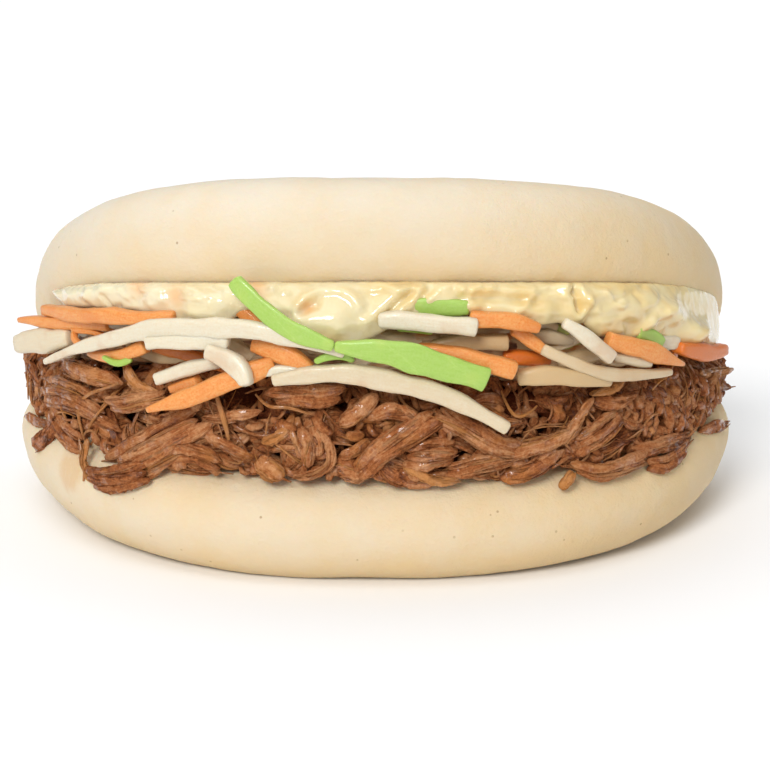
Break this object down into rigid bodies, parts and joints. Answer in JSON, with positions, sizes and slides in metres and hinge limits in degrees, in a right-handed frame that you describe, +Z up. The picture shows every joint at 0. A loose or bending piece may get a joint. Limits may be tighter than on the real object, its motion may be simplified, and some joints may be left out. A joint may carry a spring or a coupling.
{
  "type": "gua bao",
  "caption": "Steamed folded bun filled with pulled meat, a slaw of carrot, radish and cabbage shreds, and mayonnaise.",
  "frame": {"origin": "on the flat resting face, under the middle of the bun's width and depth", "axes": "+X along the fold, to the right as one faces the open side; -Y out of the open side; +Z up, through the lid"},
  "size_m": [0.1111, 0.075, 0.0577],
  "materials": {
    "bun": "soft matte steamed dough, cream white",
    "pulled_meat": "moist brown meat fibres with a low gloss",
    "slaw": "wet raw shreds: orange carrot, white radish and light green cabbage",
    "mayonnaise": "glossy pale yellow sauce"
  },
  "bodies": {
    "root": {"bun": "bun", "pulled_meat": "pulled_meat", "slaw": "slaw", "mayonnaise": "mayonnaise"}
  },
  "joints": []
}
